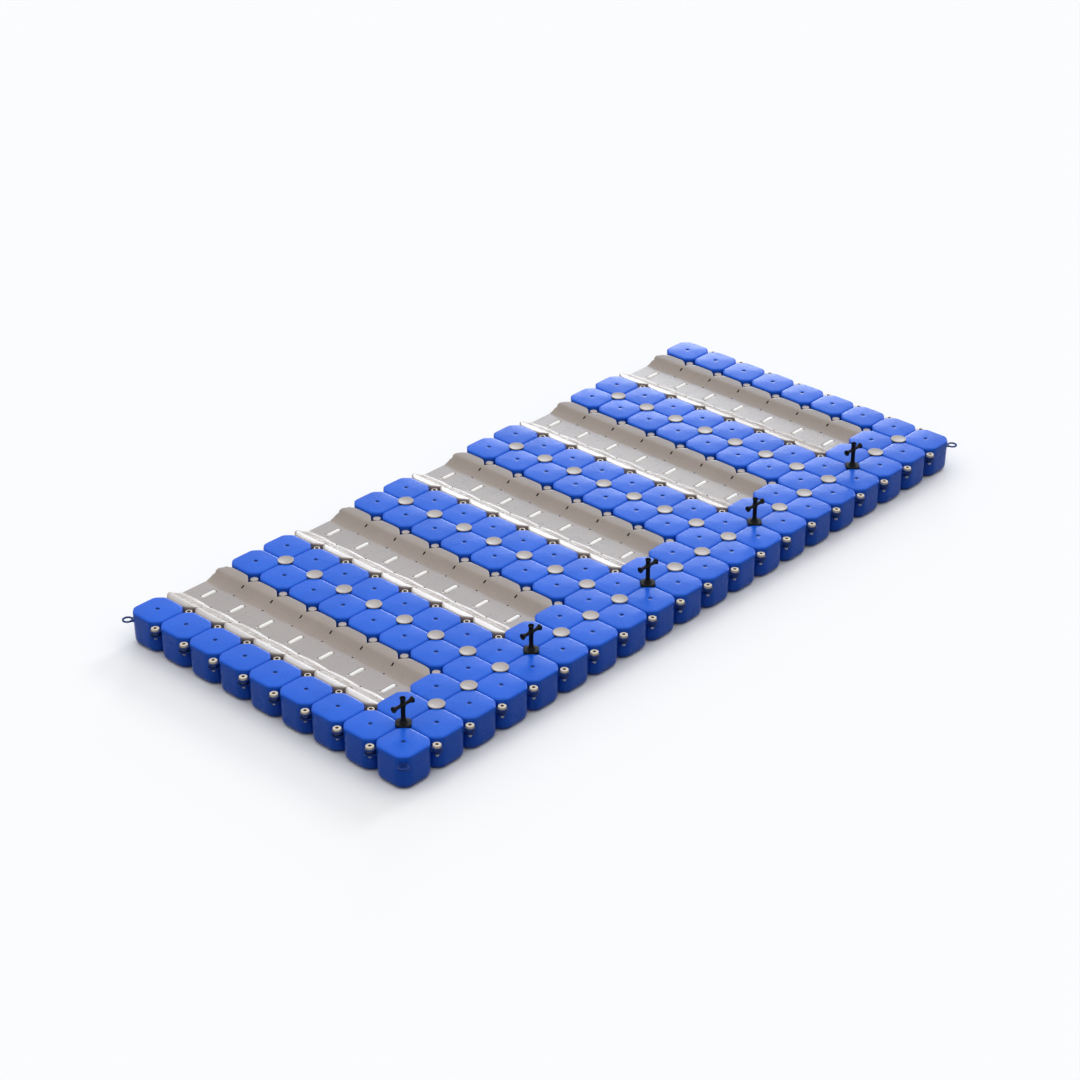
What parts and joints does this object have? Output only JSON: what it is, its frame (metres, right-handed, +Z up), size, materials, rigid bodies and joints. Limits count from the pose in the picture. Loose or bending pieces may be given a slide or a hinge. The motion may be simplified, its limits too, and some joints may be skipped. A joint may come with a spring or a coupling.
{
  "type": "jet ski dock",
  "caption": "Modular floating dock of blue cube floats: a walkway with fingers, and drive-on bays between them with a keel channel, turning keel rollers and mooring bollards.",
  "frame": {"origin": "centre of the dock's bounding box at the level of the floats' undersides", "axes": "+X along the walkway, from the left end to the right end, +Y from the walkway to the open end of the bays, +Z up"},
  "size_m": [10.13, 4.63, 0.748],
  "materials": {
    "blue_float": "blue blow-moulded polyethylene, satin, finely grained",
    "drive_on_float": "warm grey-beige blow-moulded polyethylene, satin",
    "roller": "white moulded polyethylene, smooth",
    "bollard": "black moulded nylon, satin",
    "cap": "beige moulded polyethylene, satin"
  },
  "bodies": {
    "dock": {"walkway_section_1": "blue_float", "walkway_section_2": "blue_float", "walkway_section_3": "blue_float", "walkway_section_4": "blue_float", "walkway_section_5": "blue_float", "finger_1": "blue_float", "finger_2": "blue_float", "finger_3": "blue_float", "finger_4": "blue_float", "finger_5": "blue_float", "finger_6": "blue_float", "bay_1_floats": "drive_on_float", "bay_2_floats": "drive_on_float", "bay_3_floats": "drive_on_float", "bay_4_floats": "drive_on_float", "bay_5_floats": "drive_on_float", "mooring_bollard_1": "bollard", "mooring_bollard_2": "bollard", "mooring_bollard_3": "bollard", "mooring_bollard_4": "bollard", "mooring_bollard_5": "bollard"},
    "bay_1_roller_1": {"bay_1_roller_1": "roller"},
    "bay_1_roller_2": {"bay_1_roller_2": "roller"},
    "bay_1_roller_3": {"bay_1_roller_3": "roller"},
    "bay_1_roller_4": {"bay_1_roller_4": "roller"},
    "bay_1_roller_5": {"bay_1_roller_5": "roller"},
    "bay_1_roller_6": {"bay_1_roller_6": "roller"},
    "bay_1_roller_7": {"bay_1_roller_7": "roller"},
    "bay_2_roller_1": {"bay_2_roller_1": "roller"},
    "bay_2_roller_2": {"bay_2_roller_2": "roller"},
    "bay_2_roller_3": {"bay_2_roller_3": "roller"},
    "bay_2_roller_4": {"bay_2_roller_4": "roller"},
    "bay_2_roller_5": {"bay_2_roller_5": "roller"},
    "bay_2_roller_6": {"bay_2_roller_6": "roller"},
    "bay_2_roller_7": {"bay_2_roller_7": "roller"},
    "bay_3_roller_1": {"bay_3_roller_1": "roller"},
    "bay_3_roller_2": {"bay_3_roller_2": "roller"},
    "bay_3_roller_3": {"bay_3_roller_3": "roller"},
    "bay_3_roller_4": {"bay_3_roller_4": "roller"},
    "bay_3_roller_5": {"bay_3_roller_5": "roller"},
    "bay_3_roller_6": {"bay_3_roller_6": "roller"},
    "bay_3_roller_7": {"bay_3_roller_7": "roller"},
    "bay_4_roller_1": {"bay_4_roller_1": "roller"},
    "bay_4_roller_2": {"bay_4_roller_2": "roller"},
    "bay_4_roller_3": {"bay_4_roller_3": "roller"},
    "bay_4_roller_4": {"bay_4_roller_4": "roller"},
    "bay_4_roller_5": {"bay_4_roller_5": "roller"},
    "bay_4_roller_6": {"bay_4_roller_6": "roller"},
    "bay_4_roller_7": {"bay_4_roller_7": "roller"},
    "bay_5_roller_1": {"bay_5_roller_1": "roller"},
    "bay_5_roller_2": {"bay_5_roller_2": "roller"},
    "bay_5_roller_3": {"bay_5_roller_3": "roller"},
    "bay_5_roller_4": {"bay_5_roller_4": "roller"},
    "bay_5_roller_5": {"bay_5_roller_5": "roller"},
    "bay_5_roller_6": {"bay_5_roller_6": "roller"},
    "bay_5_roller_7": {"bay_5_roller_7": "roller"}
  },
  "joints": [
    {"name": "bay_1_roller_1_turn", "type": "hinge", "parent": "dock", "child": "bay_1_roller_1", "pos_m": [-4, -1, 0.28], "axis": [1, 0, 0], "continuous": true},
    {"name": "bay_1_roller_2_turn", "type": "hinge", "parent": "dock", "child": "bay_1_roller_2", "pos_m": [-4, -0.5, 0.28], "axis": [1, 0, 0], "continuous": true},
    {"name": "bay_1_roller_3_turn", "type": "hinge", "parent": "dock", "child": "bay_1_roller_3", "pos_m": [-4, 0, 0.28], "axis": [1, 0, 0], "continuous": true},
    {"name": "bay_1_roller_4_turn", "type": "hinge", "parent": "dock", "child": "bay_1_roller_4", "pos_m": [-4, 0.5, 0.28], "axis": [1, 0, 0], "continuous": true},
    {"name": "bay_1_roller_5_turn", "type": "hinge", "parent": "dock", "child": "bay_1_roller_5", "pos_m": [-4, 1, 0.28], "axis": [1, 0, 0], "continuous": true},
    {"name": "bay_1_roller_6_turn", "type": "hinge", "parent": "dock", "child": "bay_1_roller_6", "pos_m": [-4, 1.5, 0.28], "axis": [1, 0, 0], "continuous": true},
    {"name": "bay_1_roller_7_turn", "type": "hinge", "parent": "dock", "child": "bay_1_roller_7", "pos_m": [-4, 2, 0.28], "axis": [1, 0, 0], "continuous": true},
    {"name": "bay_2_roller_1_turn", "type": "hinge", "parent": "dock", "child": "bay_2_roller_1", "pos_m": [-2, -1, 0.28], "axis": [1, 0, 0], "continuous": true},
    {"name": "bay_2_roller_2_turn", "type": "hinge", "parent": "dock", "child": "bay_2_roller_2", "pos_m": [-2, -0.5, 0.28], "axis": [1, 0, 0], "continuous": true},
    {"name": "bay_2_roller_3_turn", "type": "hinge", "parent": "dock", "child": "bay_2_roller_3", "pos_m": [-2, 0, 0.28], "axis": [1, 0, 0], "continuous": true},
    {"name": "bay_2_roller_4_turn", "type": "hinge", "parent": "dock", "child": "bay_2_roller_4", "pos_m": [-2, 0.5, 0.28], "axis": [1, 0, 0], "continuous": true},
    {"name": "bay_2_roller_5_turn", "type": "hinge", "parent": "dock", "child": "bay_2_roller_5", "pos_m": [-2, 1, 0.28], "axis": [1, 0, 0], "continuous": true},
    {"name": "bay_2_roller_6_turn", "type": "hinge", "parent": "dock", "child": "bay_2_roller_6", "pos_m": [-2, 1.5, 0.28], "axis": [1, 0, 0], "continuous": true},
    {"name": "bay_2_roller_7_turn", "type": "hinge", "parent": "dock", "child": "bay_2_roller_7", "pos_m": [-2, 2, 0.28], "axis": [1, 0, 0], "continuous": true},
    {"name": "bay_3_roller_1_turn", "type": "hinge", "parent": "dock", "child": "bay_3_roller_1", "pos_m": [0, -1, 0.28], "axis": [1, 0, 0], "continuous": true},
    {"name": "bay_3_roller_2_turn", "type": "hinge", "parent": "dock", "child": "bay_3_roller_2", "pos_m": [0, -0.5, 0.28], "axis": [1, 0, 0], "continuous": true},
    {"name": "bay_3_roller_3_turn", "type": "hinge", "parent": "dock", "child": "bay_3_roller_3", "pos_m": [0, 0, 0.28], "axis": [1, 0, 0], "continuous": true},
    {"name": "bay_3_roller_4_turn", "type": "hinge", "parent": "dock", "child": "bay_3_roller_4", "pos_m": [0, 0.5, 0.28], "axis": [1, 0, 0], "continuous": true},
    {"name": "bay_3_roller_5_turn", "type": "hinge", "parent": "dock", "child": "bay_3_roller_5", "pos_m": [0, 1, 0.28], "axis": [1, 0, 0], "continuous": true},
    {"name": "bay_3_roller_6_turn", "type": "hinge", "parent": "dock", "child": "bay_3_roller_6", "pos_m": [0, 1.5, 0.28], "axis": [1, 0, 0], "continuous": true},
    {"name": "bay_3_roller_7_turn", "type": "hinge", "parent": "dock", "child": "bay_3_roller_7", "pos_m": [0, 2, 0.28], "axis": [1, 0, 0], "continuous": true},
    {"name": "bay_4_roller_1_turn", "type": "hinge", "parent": "dock", "child": "bay_4_roller_1", "pos_m": [2, -1, 0.28], "axis": [1, 0, 0], "continuous": true},
    {"name": "bay_4_roller_2_turn", "type": "hinge", "parent": "dock", "child": "bay_4_roller_2", "pos_m": [2, -0.5, 0.28], "axis": [1, 0, 0], "continuous": true},
    {"name": "bay_4_roller_3_turn", "type": "hinge", "parent": "dock", "child": "bay_4_roller_3", "pos_m": [2, 0, 0.28], "axis": [1, 0, 0], "continuous": true},
    {"name": "bay_4_roller_4_turn", "type": "hinge", "parent": "dock", "child": "bay_4_roller_4", "pos_m": [2, 0.5, 0.28], "axis": [1, 0, 0], "continuous": true},
    {"name": "bay_4_roller_5_turn", "type": "hinge", "parent": "dock", "child": "bay_4_roller_5", "pos_m": [2, 1, 0.28], "axis": [1, 0, 0], "continuous": true},
    {"name": "bay_4_roller_6_turn", "type": "hinge", "parent": "dock", "child": "bay_4_roller_6", "pos_m": [2, 1.5, 0.28], "axis": [1, 0, 0], "continuous": true},
    {"name": "bay_4_roller_7_turn", "type": "hinge", "parent": "dock", "child": "bay_4_roller_7", "pos_m": [2, 2, 0.28], "axis": [1, 0, 0], "continuous": true},
    {"name": "bay_5_roller_1_turn", "type": "hinge", "parent": "dock", "child": "bay_5_roller_1", "pos_m": [4, -1, 0.28], "axis": [1, 0, 0], "continuous": true},
    {"name": "bay_5_roller_2_turn", "type": "hinge", "parent": "dock", "child": "bay_5_roller_2", "pos_m": [4, -0.5, 0.28], "axis": [1, 0, 0], "continuous": true},
    {"name": "bay_5_roller_3_turn", "type": "hinge", "parent": "dock", "child": "bay_5_roller_3", "pos_m": [4, 0, 0.28], "axis": [1, 0, 0], "continuous": true},
    {"name": "bay_5_roller_4_turn", "type": "hinge", "parent": "dock", "child": "bay_5_roller_4", "pos_m": [4, 0.5, 0.28], "axis": [1, 0, 0], "continuous": true},
    {"name": "bay_5_roller_5_turn", "type": "hinge", "parent": "dock", "child": "bay_5_roller_5", "pos_m": [4, 1, 0.28], "axis": [1, 0, 0], "continuous": true},
    {"name": "bay_5_roller_6_turn", "type": "hinge", "parent": "dock", "child": "bay_5_roller_6", "pos_m": [4, 1.5, 0.28], "axis": [1, 0, 0], "continuous": true},
    {"name": "bay_5_roller_7_turn", "type": "hinge", "parent": "dock", "child": "bay_5_roller_7", "pos_m": [4, 2, 0.28], "axis": [1, 0, 0], "continuous": true}
  ]
}
